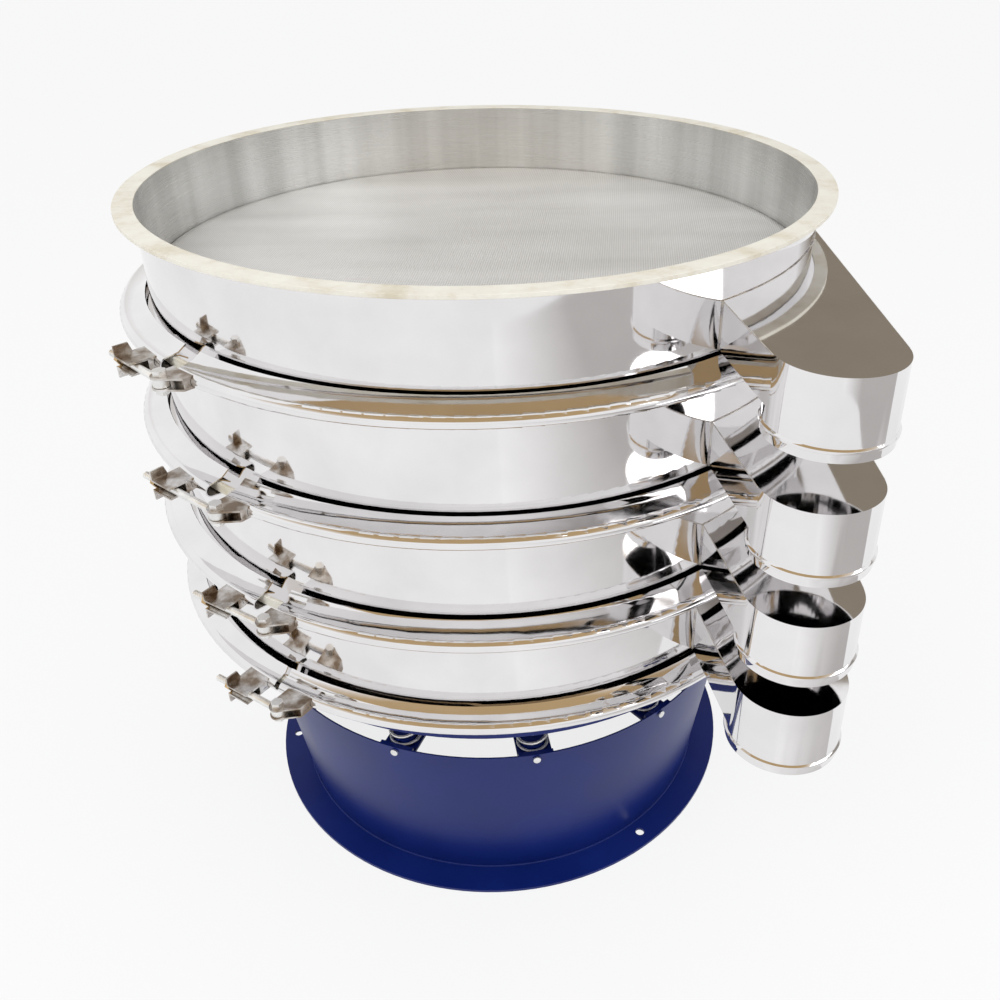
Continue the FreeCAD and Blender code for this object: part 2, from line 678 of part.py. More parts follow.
def lower_seat():
    """A shelf with a spigot for the spring and a leg that is bolted to the drum's wall."""
    body = new_body("lower_seat_master")
    low, high = spring_foot - size("shelf_thick"), drum_top - 2
    near, reach, wide = spring_circle - cup_radius, size("drum_top_radius") + 10, cup_radius
    leg, clear = wall_inside(spring_foot) - size("seat_leg"), size("seat_gap")

    def plan(sketch, start):
        outline(sketch, [(start, -wide), (reach, -wide), (reach, wide), (start, wide)])

    pad(body, "shelf", lambda s: plan(s, near), low, size("shelf_thick"))
    pad(body, "leg", lambda s: plan(s, leg), low, high - low)
    pad(body, "spigot", lambda s: circle(s, spring_circle, 0, spigot_radius), spring_foot,
        size("spigot_height"))
    doc.recompute()
    sketch = new_sketch(body, "XZ_Plane", "wall_side_profile")
    outline(sketch, [(wall_inside(low - 1) - clear, low - 1), (reach + 60, low - 1), (reach + 60, high + 1),
                     (wall_inside(high + 1) - clear, high + 1)])
    groove = body.newObject("PartDesign::Groove", "wall_side")
    groove.Profile = sketch
    groove.ReferenceAxis = (sketch, ["V_Axis"])
    groove.Angle = 360
    doc.recompute()
    hole = new_sketch(body, "YZ_Plane", "bolt_hole_sketch", spring_circle)
    circle(hole, 0, drum_top - size("seat_bolt_drop"), size("seat_bolt_radius") + clear)
    cut = body.newObject("PartDesign::Pocket", "bolt_hole")
    cut.Profile = hole
    cut.Reversed = True
    bind(cut, "Length", reach - spring_circle)
    return body


def seat_bolt():
    """A round-headed bolt from outside through the drum's wall, screwed into the seat's leg."""
    body = new_body("seat_bolt_master")
    level, head = drum_top - size("seat_bolt_drop"), size("seat_head_radius")
    outside = wall_inside(level + head) + size("drum_sheet") + 0.1
    leg = wall_inside(spring_foot) - size("seat_leg")
    pad(body, "shank", lambda s: circle(s, 0, level, size("seat_bolt_radius")), leg, outside + 1 - leg, "YZ_Plane")
    pad(body, "head", lambda s: circle(s, 0, level, head), outside, size("seat_head_height"), "YZ_Plane")
    return body


def spring():
    """A coil spring with one closed turn at each end.  The wire is a run of six-sided sections."""
    wire, mean = size("wire_radius").value, size("coil_radius").value
    low, high = spring_foot.value + wire, spring_top.value - wire
    closed = wire * 2 + 0.5
    turns = size("spring_turns").value
    per_turn = 10
    sections = []
    for step in range(int((turns + 2) * per_turn) + 1):
        turn = step / per_turn
        if turn < 1:
            z = low + closed * turn
        elif turn > turns + 1:
            z = high - closed * (turns + 2 - turn)
        else:
            z = low + closed + (high - low - closed * 2) * (turn - 1) / turns
        angle = 2 * math.pi * turn
        corners = []
        for side in range(6):
            around = math.pi / 3 * (side + 0.5)
            reach = mean + wire * math.cos(around)
            corners.append(FreeCAD.Vector(reach * math.cos(angle), reach * math.sin(angle),
                                          z + wire * math.sin(around)))
        sections.append(Part.makePolygon(corners + corners[:1]))
    coil = Part.makeLoft(sections, True, True)
    coil.translate(FreeCAD.Vector(spring_circle.value, 0, 0))
    master = doc.addObject("Part::Feature", "spring_master")
    master.Shape = coil
    return master


node(ring_of("support_springs", spring(), azimuths))
node(ring_of("upper_spring_seats", upper_seat(), azimuths))
node(ring_of("lower_spring_seats", lower_seat(), azimuths))
node(ring_of("seat_bolts", seat_bolt(), azimuths))


# ---------------------------------------------------------------- base drum

def base_drum():
    """A flared sheet drum welded to a flat foot ring, with anchor holes and a hatch at the back."""
    body = new_body("base_drum")
    thick, top_r, t = size("foot_thick"), size("drum_top_radius"), size("drum_sheet")
    foot = foot_radius + size("foot_width")
    revolve(body, "shell", [(foot_radius - t, 0), (foot, 0), (foot, thick), (foot_radius, thick),
                            (top_r, drum_top), (top_r - t, drum_top), (foot_radius - t, thick)])
    start, line = size("anchor_start") - size("spring_start"), foot_radius + size("anchor_offset")
    anchor = pocket(body, "anchor_hole", lambda s: circle(s, line * cosine(start), line * sine(start),
                    size("anchor_radius")), -1, thick + 2)
    polar(body, "anchor_holes", anchor, 3)
    doc.recompute()
    bolt = new_sketch(body, "YZ_Plane", "seat_hole_sketch", spring_circle)
    circle(bolt, 0, drum_top - size("seat_bolt_drop"), size("seat_bolt_radius") + size("seat_gap"))
    cut = body.newObject("PartDesign::Pocket", "seat_hole")
    cut.Profile = bolt
    cut.Reversed = True
    bind(cut, "Length", top_r - spring_circle + 20)
    doc.recompute()
    polar(body, "seat_holes", cut, size("spring_count"))
    doc.recompute()
    wide, low, high, corner = size("hatch_width") / 2, size("hatch_low"), size("hatch_high"), size("hatch_corner")
    hatch = new_sketch(body, "XZ_Plane", "hatch_sketch")
    outline(hatch, [(-wide, low), (wide, low), (wide, high - corner), (wide - corner, high, corner),
                    (corner - wide, high), (-wide, high - corner, corner)])
    opening = body.newObject("PartDesign::Pocket", "hatch")
    opening.Profile = hatch
    bind(opening, "Length", foot + top_r)
    return body


drum = base_drum()
place(drum, size("spring_start").value)
node(drum)


# ---------------------------------------------------------------- motor and weights

def motor():
    """The motor's housing: a finned barrel with its mounting flange under the bed."""
    body = new_body("motor_housing")
    radius, thick = size("motor_radius"), size("motor_flange_thick")
    bearing, shield, step = shaft_radius + size("run_fit"), radius - size("shield_inset"), size("shield_step")
    revolve(body, "barrel", [
        (bearing, motor_low), (shield, motor_low), (shield, motor_low + step), (radius, motor_low + step * 2),
        (radius, bed_level - thick), (motor_flange, bed_level - thick), (motor_flange, bed_level),
        (radius, bed_level), (radius, motor_high - step * 2), (shield, motor_high - step),
        (shield, motor_high), (bearing, motor_high)])
    hole = pocket(body, "flange_hole", lambda s: circle(s, motor_bolt_line, 0,
                  size("motor_bolt_radius") + size("seat_gap")), bed_level - thick - 1, thick + 2)
    polar(body, "flange_holes", hole, 8)
    doc.recompute()

    def fin(sketch):
        root, reach, thin = radius - 4, radius + size("fin_height"), size("fin_thick") / 2
        outline(sketch, [(root, -thin), (reach, -thin), (reach, thin), (root, thin)])

    rib = pad(body, "fin", fin, motor_low + step * 3, bed_level - thick - motor_low - step * 4)
    doc.recompute()
    polar(body, "fins", rib, 12)
    return node(body)


def motor_bolts():
    """Bolts down through the bed and the motor's flange, with nuts below."""
    body = new_body("motor_bolt_master")
    low, high = bed_level - size("motor_flange_thick"), bed_level + size("bed_thick")
    head, shank = size("head_height"), size("motor_bolt_radius")
    pad(body, "shank", lambda s: circle(s, motor_bolt_line, 0, shank), low - head - 2, high - low + head + 4)
    pad(body, "head", lambda s: hexagon(s, motor_bolt_line, 0, size("head_flats")), high, head)
    pad(body, "nut", lambda s: hexagon(s, motor_bolt_line, 0, size("head_flats")), low - head, head)
    return node(ring_of("motor_bolts", body, [45.0 * k for k in range(8)]))


box_near = size("motor_radius") + size("fin_height") + size("seat_gap")
box_low = motor_low + size("box_rise")


def terminal_box():
    """The motor's wiring box, against one of the fins."""
    body = new_body("terminal_box")
    far, wide = box_near + size("box_depth"), size("box_width") / 2
    pad(body, "case", lambda s: outline(s, [(box_near, -wide), (far, -wide), (far, wide), (box_near, wide)]),
        box_low, size("box_height"))
    place(body, 90.0)
    return node(body)


def cable_gland():
    """The gland under the wiring box, open for a cable."""
    body = new_body("cable_gland")
    middle, high = box_near + size("box_depth") / 2, box_low - size("seat_gap")
    nut, length = size("gland_nut"), size("gland_length")
    pad(body, "nut", lambda s: hexagon(s, middle, 0, size("gland_flats")), high - nut, nut)
    pad(body, "sleeve", lambda s: circle(s, middle, 0, size("gland_radius")), high - length, length - nut)
    pocket(body, "cable_hole", lambda s: circle(s, middle, 0, size("gland_bore")), high - length - 1, length - 3)
    place(body, 90.0)
    return node(body)


def shaft():
    body = new_body("motor_shaft")
    top = upper_weight_level + weight_thick + size("shaft_end")
    collar = shaft_radius + size("collar_width")
    pad(body, "shaft", lambda s: circle(s, 0, 0, shaft_radius), shaft_low, top - shaft_low)
    pad(body, "collar", lambda s: circle(s, 0, 0, collar), shaft_low, size("collar_height"))
    return node(body)


def weight(name, level, fit):
    """A half disc of steel with a hub round the shaft."""
    body = new_body(name)
    radius, hub = size("weight_radius"), shaft_radius + size("weight_hub")
    pad(body, "plate", lambda s: outline(s, [(-radius, 0), (0, -radius, radius), (radius, 0, radius)]),
        level, weight_thick)
    pad(body, "hub", lambda s: circle(s, 0, 0, hub), level, weight_thick)
    pocket(body, "bore", lambda s: circle(s, 0, 0, shaft_radius + fit), level - 1, weight_thick + 2)
    return node(body)


motor()
motor_bolts()
terminal_box()
cable_gland()
shaft()
weight("upper_weight", upper_weight_level, size("close_fit"))
weight("lower_weight", lower_weight_level, size("close_fit"))
weight("phase_weight", phase_weight_level, size("run_fit"))


# ---------------------------------------------------------------- checks and files

doc.recompute()
for thing in doc.Objects:
    if "Invalid" in thing.State or "Error" in thing.State:
        raise RuntimeError("%s: %s" % (thing.Label, thing.State))
os.makedirs("parts", exist_ok=True)
for thing in nodes:
    shape = thing.Shape
    if shape.isNull() or not shape.isValid() or not shape.Solids:
        raise RuntimeError("bad shape in " + thing.Label)
    shape.exportStep("parts/%s.step" % thing.Label)
print("%d nodes" % len(nodes))
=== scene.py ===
import json
import math
import bpy
import bmesh
from mathutils import Matrix, Vector

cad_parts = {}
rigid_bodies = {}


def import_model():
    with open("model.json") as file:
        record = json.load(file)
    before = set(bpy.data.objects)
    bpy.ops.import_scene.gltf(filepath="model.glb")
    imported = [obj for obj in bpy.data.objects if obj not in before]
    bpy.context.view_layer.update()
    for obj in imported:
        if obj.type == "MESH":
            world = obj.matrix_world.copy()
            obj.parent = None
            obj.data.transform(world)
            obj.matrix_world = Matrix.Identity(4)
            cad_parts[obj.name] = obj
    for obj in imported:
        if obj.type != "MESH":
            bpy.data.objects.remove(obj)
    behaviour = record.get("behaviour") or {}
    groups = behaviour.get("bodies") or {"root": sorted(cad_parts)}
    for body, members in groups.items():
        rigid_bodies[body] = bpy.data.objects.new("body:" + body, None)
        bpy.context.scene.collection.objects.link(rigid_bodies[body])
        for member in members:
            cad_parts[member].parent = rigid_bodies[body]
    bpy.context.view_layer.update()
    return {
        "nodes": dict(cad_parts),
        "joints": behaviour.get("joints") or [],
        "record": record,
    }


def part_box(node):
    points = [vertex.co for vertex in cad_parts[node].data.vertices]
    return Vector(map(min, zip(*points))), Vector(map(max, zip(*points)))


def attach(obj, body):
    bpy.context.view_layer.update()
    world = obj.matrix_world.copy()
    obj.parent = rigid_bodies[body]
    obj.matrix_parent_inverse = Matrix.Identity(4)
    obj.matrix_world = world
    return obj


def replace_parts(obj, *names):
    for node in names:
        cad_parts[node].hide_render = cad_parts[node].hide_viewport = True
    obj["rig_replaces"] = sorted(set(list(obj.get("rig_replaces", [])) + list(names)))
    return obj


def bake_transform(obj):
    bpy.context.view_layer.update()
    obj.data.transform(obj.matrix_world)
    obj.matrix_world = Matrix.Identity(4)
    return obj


# A three-deck vibrating sieve.  Metres, +Z up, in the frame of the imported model.

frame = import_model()
record = frame["record"]
joints = {j["name"]: j for j in frame["joints"]}
mounts = {m["name"]: m for m in record["mounts"]}
DECKS = (1, 2, 3, 4)
FRAMES = ("top_frame", "second_frame", "third_frame", "bottom_frame")
VIBRATING, STAND = "vibrating_body", "stand"

# sizes that the frame's boxes don't give
WALL_RADIUS, SHEET = 0.580, 0.002
MOUTH_NEAR, MOUTH_FAR = math.radians(-55.1), math.radians(-16)
SPRING_COUNT, SPRING_START = 12, math.radians(7)
SPRING_CIRCLE, COIL_RADIUS, WIRE_RADIUS, SPRING_TURNS = 0.455, 0.027, 0.003, 6.5
ROD_RADIUS, THREAD_DEPTH, THREAD_PITCH, SHANK_START = 0.006, 0.0009, 0.00175, 0.016
DRUM_FOOT_RADIUS, FOOT_THICK = 0.447, 0.006
WIRE_WAVES = 78.0
CLOTH_CLEARANCE, CLOTH_THICK, CLOTH_SLACK = 0.0008, 0.0005, 0.0002
WELD_STAND_OFF = 0.0008
CARD_FADE, CARD_LIFT, SURROUND_LIGHT = 0.3, 0.001, 0.75
SMOOTH_ANGLE = math.radians(32)


# ---------------------------------------------------------------- node trees for materials

class Tree:
    """A short way to write a material's nodes."""

    def __init__(self, name):
        self.material = bpy.data.materials.new(name)
        self.material.use_nodes = True
        self.nodes = self.material.node_tree.nodes
        self.links = self.material.node_tree.links
        self.shader = self.nodes["Principled BSDF"]

    def add(self, kind, settings=None, **inputs):
        node = self.nodes.new(kind)
        for key, value in (settings or {}).items():
            setattr(node, key, value)
        for key, value in inputs.items():
            self.feed(node, key.replace("_", " "), value)
        return node

    def feed(self, node, key, value):
        socket = node.inputs[key]
        if isinstance(value, bpy.types.NodeSocket):
            self.links.new(value, socket)
        else:
            socket.default_value = value

    def set(self, **inputs):
        for key, value in inputs.items():
            self.feed(self.shader, key.replace("_", " "), value)

    def object_coords(self, scale=(1, 1, 1), turn=0.0):
        place = self.add("ShaderNodeTexCoord").outputs["Object"]
        mapping = self.add("ShaderNodeMapping", Vector=place, Scale=scale, Rotation=(0, 0, turn))
        return mapping.outputs["Vector"]

    def noise(self, vector, scale, detail=3.0, roughness=0.5):
        node = self.add("ShaderNodeTexNoise", Vector=vector, Scale=scale, Detail=detail, Roughness=roughness)
        return node.outputs["Fac"]

    def ramp(self, fac, stops):
        node = self.add("ShaderNodeValToRGB", Fac=fac)
        elements = node.color_ramp.elements
        while len(elements) < len(stops):
            elements.new(0.5)
        for element, (position, colour) in zip(elements, stops):
            element.position = position
            element.color = (*colour, 1)
        return node.outputs["Color"]

    def spread(self, value, low, high):
        """Carries 0..1 to low..high."""
        node = self.add("ShaderNodeMapRange", Value=value, To_Min=low, To_Max=high)
        return node.outputs["Result"]

    def math(self, operation, a, b):
        node = self.add("ShaderNodeMath", {"operation": operation})
        self.feed(node, 0, a)
        self.feed(node, 1, b)
        return node.outputs["Value"]

    def bump(self, height, strength, distance):
        node = self.add("ShaderNodeBump", Height=height, Strength=strength, Distance=distance)
        return node.outputs["Normal"]


def polished_steel():
    """Mirror-polished stainless sheet: faint clouding, fine polishing lines and slow waves in the sheet."""
    tree = Tree("polished_stainless")
    cloud = tree.noise(tree.object_coords(), 9.0, 4.0)
    lines = tree.noise(tree.object_coords((60, 60, 400)), 1.0, 2.0)
    tree.set(Metallic=1.0)
    tree.set(Base_Color=tree.ramp(cloud, [(0.3, (0.77, 0.76, 0.765)), (0.7, (0.84, 0.83, 0.835))]))
    tree.set(Roughness=tree.spread(tree.math("MULTIPLY", cloud, lines), 0.03, 0.13))
    wave = tree.noise(tree.object_coords((1, 1, 0.4)), 5.0, 1.0)
    tree.set(Normal=tree.bump(wave, 0.25, 0.004))
    return tree.material


def satin_steel():
    """The inside of the frames: rolled sheet with a blurred, brushed reflection, and vertical streaks of lighter
    and darker colour painted in as blurred reflections.
    """
    tree = Tree("satin_stainless")
    brushed = tree.noise(tree.object_coords((4, 4, 900)), 1.0, 3.0)
    # painted reflection: vertical streaks of lighter and darker colour stand in for blurred reflections on the
    # inner wall (used in the colour ramp below)
    painted_reflection_streak = tree.noise(tree.object_coords((14, 14, 0.6)), 1.0, 3.0)
    tree.set(Metallic=1.0)
    tree.set(Base_Color=tree.ramp(painted_reflection_streak, [(0.3, (0.60, 0.60, 0.59)), (0.7, (0.82, 0.82, 0.815))]))
    tree.set(Roughness=tree.spread(brushed, 0.24, 0.32))
    wave = tree.noise(tree.object_coords((1, 1, 0.1)), 7.0, 1.0)
    tree.set(Normal=tree.bump(wave, 0.8, 0.01))
    return tree.material


def worn_steel():
    """Pressed stainless brackets: less polish, with random brown and dark patches."""
    tree = Tree("worn_stainless")
    place = tree.object_coords()
    # random brown and dark patches scattered by noise over the whole bracket
    brown_patch = tree.noise(place, 34.0, 3.0, 0.5)
    tree.set(Metallic=1.0)
    tree.set(Base_Color=tree.ramp(brown_patch, [(0.38, (0.26, 0.20, 0.15)), (0.50, (0.50, 0.46, 0.42)),
                                          (0.66, (0.76, 0.75, 0.74))]))
    tree.set(Roughness=tree.spread(brown_patch, 0.30, 0.16))
    tree.set(Normal=tree.bump(tree.noise(place, 240.0, 2.0), 0.03, 0.0002))
    return tree.material


def weld_steel():
    """Weld beads: bright ripples with straw and blue heat tint."""
    tree = Tree("weld_stainless")
    heat = tree.noise(tree.object_coords(), 45.0, 3.0)
    tree.set(Metallic=1.0)
    tree.set(Base_Color=tree.ramp(heat, [(0.35, (0.42, 0.40, 0.42)), (0.5, (0.62, 0.58, 0.53)),
                                         (0.68, (0.72, 0.71, 0.71))]))
    tree.set(Roughness=tree.spread(heat, 0.2, 0.4))
    return tree.material


def wire_cloth():
    """Fine woven stainless cloth: crossing wires, faint lighter and darker bands painted in as the shading of
    slack cloth, and a slight straw tint.
    """
    tree = Tree("wire_cloth")
    place = tree.object_coords(turn=math.radians(8))
    wires = [tree.add("ShaderNodeTexWave", {"bands_direction": way, "wave_profile": "SIN"}, Vector=place,
                      Scale=WIRE_WAVES, Distortion=0.4, Detail=1.0).outputs["Fac"] for way in ("X", "Y")]
    weave = tree.math("MULTIPLY", tree.math("ADD", *wires), 0.5)
    # painted shading: broad lighter and darker bands where slack cloth would catch the light differently, mixed
    # into the colour below
    slack = tree.noise(tree.object_coords((1.2, 5.0, 1.0)), 1.6, 4.0)
    cloud = tree.noise(tree.object_coords(), 3.0, 4.0)
    tone = tree.math("ADD", tree.math("MULTIPLY", weave, 0.42), tree.math("MULTIPLY", slack, 0.42))
    tone = tree.math("ADD", tone, tree.math("MULTIPLY", cloud, 0.22))
    tree.set(Metallic=0.45)
    tree.set(Base_Color=tree.ramp(tone, [(0.25, (0.46, 0.455, 0.43)), (0.52, (0.72, 0.715, 0.695)),
                                         (0.8, (0.90, 0.90, 0.89))]))
    tree.set(Roughness=tree.spread(cloud, 0.36, 0.5))
    tree.set(Normal=tree.bump(weave, 0.7, 0.0012))
    return tree.material


def cream_rubber():
    """Food-grade rubber, slightly soiled."""
    tree = Tree("cream_rubber")
    place = tree.object_coords()
    soil = tree.noise(place, 14.0, 6.0, 0.65)
    tree.set(Base_Color=tree.ramp(soil, [(0.32, (0.66, 0.60, 0.47)), (0.5, (0.80, 0.77, 0.68)),
                                         (0.7, (0.86, 0.84, 0.76))]))
    tree.set(Roughness=tree.spread(soil, 0.62, 0.5))
    tree.set(Normal=tree.bump(tree.noise(place, 260.0, 2.0), 0.15, 0.0006))
    return tree.material


def navy_paint():
    """Glossy navy enamel over steel, with light orange peel."""
    tree = Tree("navy_paint")
    place = tree.object_coords()
    cloud = tree.noise(place, 6.0, 4.0)
    tree.set(Base_Color=tree.ramp(cloud, [(0.3, (0.003, 0.013, 0.125)), (0.7, (0.005, 0.018, 0.160))]))
    tree.set(Roughness=tree.spread(cloud, 0.30, 0.42), Specular_IOR_Level=0.25)
    tree.set(Normal=tree.bump(tree.noise(place, 420.0, 2.0), 0.08, 0.0003))
    return tree.material


def zinc_steel():
    """Zinc-plated springs and bolts: bright, slightly clouded, with a fine grain."""
    tree = Tree("zinc_steel")
    place = tree.object_coords()
    cloud = tree.noise(place, 60.0, 4.0)
    tree.set(Metallic=1.0)
    tree.set(Base_Color=tree.ramp(cloud, [(0.3, (0.74, 0.74, 0.73)), (0.7, (0.90, 0.90, 0.89))]))
    tree.set(Roughness=tree.spread(cloud, 0.3, 0.5))
    tree.set(Normal=tree.bump(tree.noise(place, 900.0, 2.0), 0.15, 0.0003))
    return tree.material


def machined_steel():
    """Turned steel of the shaft and weights: darker, with fine rings."""
    tree = Tree("machined_steel")
    turned = tree.noise(tree.object_coords((3, 3, 600)), 1.0, 3.0)
    tree.set(Metallic=1.0)
    tree.set(Base_Color=tree.ramp(turned, [(0.3, (0.33, 0.33, 0.33)), (0.7, (0.46, 0.46, 0.46))]))
    tree.set(Roughness=tree.spread(turned, 0.3, 0.48))
    return tree.material


def brass():
    """The closures' nuts, dulled by handling."""
    tree = Tree("brass")
    cloud = tree.noise(tree.object_coords(), 120.0, 4.0)
    tree.set(Metallic=1.0)
    tree.set(Base_Color=tree.ramp(cloud, [(0.3, (0.42, 0.28, 0.13)), (0.7, (0.70, 0.50, 0.26))]))
    tree.set(Roughness=tree.spread(cloud, 0.2, 0.42))
    return tree.material


def black_plastic():
    """Grained plastic of the cable gland."""
    tree = Tree("black_plastic")
    grain = tree.noise(tree.object_coords(), 800.0, 2.0)
    tree.set(Base_Color=tree.ramp(grain, [(0.3, (0.010, 0.010, 0.010)), (0.7, (0.022, 0.022, 0.022))]))
    tree.set(Roughness=tree.spread(grain, 0.5, 0.62))
    tree.set(Normal=tree.bump(grain, 0.2, 0.0003))
    return tree.material


FINISH = {
    "polished_stainless": polished_steel(), "wire_cloth": wire_cloth(), "cream_rubber": cream_rubber(),
    "navy_paint": navy_paint(), "zinc": zinc_steel(), "steel": machined_steel(), "brass": brass(),
    "black_plastic": black_plastic(),
}
SATIN, WORN, WELD = satin_steel(), worn_steel(), weld_steel()
SLOT_OF = {s["node"]: s["material_slot"] for s in record["subparts"]}
BODY_OF = {n: b for b, members in record["behaviour"]["bodies"].items() for n in members}


# ---------------------------------------------------------------- making pieces

def finish_piece(obj, body, slot, *nodes):
    """Gives a piece its body and the CAD nodes that it stands for; the slot argument is not used."""
    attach(obj, body)
    if nodes:
        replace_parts(obj, *nodes)
    return obj


def new_piece(name, mesh, *materials):
    obj = bpy.data.objects.new(name, mesh)
    bpy.context.scene.collection.objects.link(obj)
    for material in materials:
        mesh.materials.append(material)
    return obj


def shade(mesh, angle=SMOOTH_ANGLE):
    mesh.shade_smooth()
    mesh.set_sharp_from_angle(angle=angle)


def merged_mesh(node):
    """A copy of a CAD node's mesh with its loose triangles joined into clean faces."""
    mesh = frame["nodes"][node].data.copy()
    mesh.name = node + "_dressed"
    bm = bmesh.new()
    bm.from_mesh(mesh)
    bmesh.ops.remove_doubles(bm, verts=bm.verts, dist=1e-6)
    bmesh.ops.dissolve_limit(bm, angle_limit=math.radians(0.5), verts=bm.verts, edges=bm.edges)
    bm.to_mesh(mesh)
    bm.free()
    mesh.materials.clear()
    return mesh


def ease_edges(obj, width, segments=2, angle=40):
    bevel = obj.modifiers.new("eased_edges", "BEVEL")
    bevel.width, bevel.segments, bevel.limit_method = width, segments, "ANGLE"
    bevel.angle_limit = math.radians(angle)
    bevel.harden_normals = True


def softened_copy(node, edge=0.0, finish=None):
    """A CAD node with smooth round faces and, if asked, eased edges."""
    mesh = merged_mesh(node)
    shade(mesh)
    obj = new_piece(node + "_dressed", mesh, finish or FINISH[SLOT_OF[node]])
    if edge:
        ease_edges(obj, edge)
    return finish_piece(obj, BODY_OF[node], SLOT_OF[node], node)


class Pattern:
    """A Geometry Nodes tree over a host mesh, with named sizes, that ends as one plain mesh."""

    def __init__(self, name, host, **sizes):
        self.group = bpy.data.node_groups.new(name, "GeometryNodeTree")
        self.host, self.sizes, self.sockets = host, sizes, {}
        sockets = self.group.interface
        sockets.new_socket("Geometry", in_out="INPUT", socket_type="NodeSocketGeometry")
        sockets.new_socket("Geometry", in_out="OUTPUT", socket_type="NodeSocketGeometry")
        for label, value in sizes.items():
            self.sockets[label] = sockets.new_socket(label, in_out="INPUT", socket_type="NodeSocketFloat")
        self.start = self.group.nodes.new("NodeGroupInput")
        self.end = self.group.nodes.new("NodeGroupOutput")

    def size(self, label):
        return self.start.outputs[label]

    def add(self, kind, settings=None, **inputs):
        node = self.group.nodes.new(kind)
        for key, value in (settings or {}).items():
            setattr(node, key, value)
        for key, value in inputs.items():
            self.feed(node.inputs[key.replace("_", " ")], value)
        return node

    def feed(self, socket, value):
        if isinstance(value, bpy.types.NodeSocket):
            self.group.links.new(value, socket)
        else:
            socket.default_value = value

    def math(self, operation, a, b=0.0):
        node = self.group.nodes.new("ShaderNodeMath")
        node.operation = operation
        self.feed(node.inputs[0], a)
        self.feed(node.inputs[1], b)
        return node.outputs["Value"]

    def mesh(self, name, geometry, material):
        """Runs the tree on its host and returns the result as a plain mesh."""
        solid = self.add("GeometryNodeRealizeInstances", Geometry=geometry).outputs["Geometry"]
        painted = self.add("GeometryNodeSetMaterial", Geometry=solid, Material=material).outputs["Geometry"]
        self.group.links.new(painted, self.end.inputs["Geometry"])
        host = new_piece(name + "_host", self.host)
        modifier = host.modifiers.new(name, "NODES")
        modifier.node_group = self.group
        for label, value in self.sizes.items():
            modifier[self.sockets[label].identifier] = value
        bpy.context.view_layer.update()
        result = host.evaluated_get(bpy.context.evaluated_depsgraph_get())
        mesh = bpy.data.meshes.new_from_object(result)
        mesh.name = name
        bpy.data.objects.remove(host)
        return mesh


def points_mesh(name, points, closed=False, joined=False):
    """A host of bare points, or of points joined into a path."""
    mesh = bpy.data.meshes.new(name)
    edges = [(n, n + 1) for n in range(len(points) - 1)] if joined else []
    if closed:
        edges.append((len(points) - 1, 0))
    mesh.from_pydata([tuple(p) for p in points], edges, [])
    return mesh


def around(radius, azimuth, level):
    return Vector((radius * math.cos(azimuth), radius * math.sin(azimuth), level))


def arc(radius, start, end, level, steps):
    return [around(radius, start + (end - start) * n / steps, level) for n in range(steps + 1)]


# ---------------------------------------------------------------- frames and screens

def vibrating_frame(node):
    """A frame tube: mirror-polished outside, satin inside."""
    mesh = merged_mesh(node)
    shade(mesh)
    obj = new_piece(node + "_dressed", mesh, FINISH["polished_stainless"], SATIN)
    for face in mesh.polygons:
        outward = Vector((face.center.x, face.center.y, 0)).normalized()
        if face.normal.dot(outward) < -0.5 and face.center.to_2d().length < WALL_RADIUS - SHEET / 2:
            face.material_index = 1
    finish_piece(obj, VIBRATING, "polished_stainless", node)


def screen_cloth(node):
    """Woven cloth glued over its ring, drawn tight but for slight slack in the middle."""
    low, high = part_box(node)
    radius = WALL_RADIUS - SHEET - CLOTH_CLEARANCE
    rings, spokes = 40, 144
    middle = (low[2] + high[2]) / 2
    bm = bmesh.new()
    rows = []
    for n in range(1, rings + 1):
        r, row = radius * n / rings, []
        for k in range(spokes):
            a = math.tau * k / spokes
            slack = math.sin(7 * r * math.cos(a - 0.5) / radius + 1.3) + math.sin(11 * r * math.sin(a) / radius)
            row.append(bm.verts.new(around(r, a, middle + CLOTH_SLACK * slack * (1 - (n / rings) ** 6))))
        rows.append(row)
    hub = bm.verts.new((0, 0, middle))
    for k in range(spokes):
        nxt = (k + 1) % spokes
        bm.faces.new((hub, rows[0][k], rows[0][nxt]))
        for inner, outer in zip(rows, rows[1:]):
            bm.faces.new((inner[k], outer[k], outer[nxt], inner[nxt]))
    mesh = bpy.data.meshes.new(node + "_dressed")
    bm.to_mesh(mesh)
    bm.free()
    mesh.shade_smooth()
    obj = new_piece(node + "_dressed", mesh, FINISH["wire_cloth"])
    wall = obj.modifiers.new("wire_thickness", "SOLIDIFY")
    wall.thickness, wall.offset = CLOTH_THICK, 0
    finish_piece(obj, VIBRATING, "wire_cloth", node)


# ---------------------------------------------------------------- welds

def weld_beads(name, paths, bead, spacing, material, body, slot):
    """Overlapping ripples of weld along each path."""
    bm = bmesh.new()
    for points, closed in paths:
        tree = Pattern(name, points_mesh(name + "_path", points, closed, joined=True), Bead=bead, Spacing=spacing)
        line = tree.add("GeometryNodeMeshToCurve", Mesh=tree.start.outputs["Geometry"]).outputs["Curve"]
        line = tree.add("GeometryNodeResampleCurve", {"mode": "LENGTH"}, Curve=line, Length=tree.size("Spacing"))
        ripple = tree.add("GeometryNodeMeshIcoSphere", Radius=tree.size("Bead"), Subdivisions=1)
        beads = tree.add("GeometryNodeInstanceOnPoints", Points=line.outputs["Curve"],
                         Instance=ripple.outputs["Mesh"])
        bm.from_mesh(tree.mesh(name, beads.outputs["Instances"], material))
    whole = bpy.data.meshes.new(name)
    bm.to_mesh(whole)
    bm.free()
    whole.shade_smooth()
    finish_piece(new_piece(name, whole, material), body, slot)


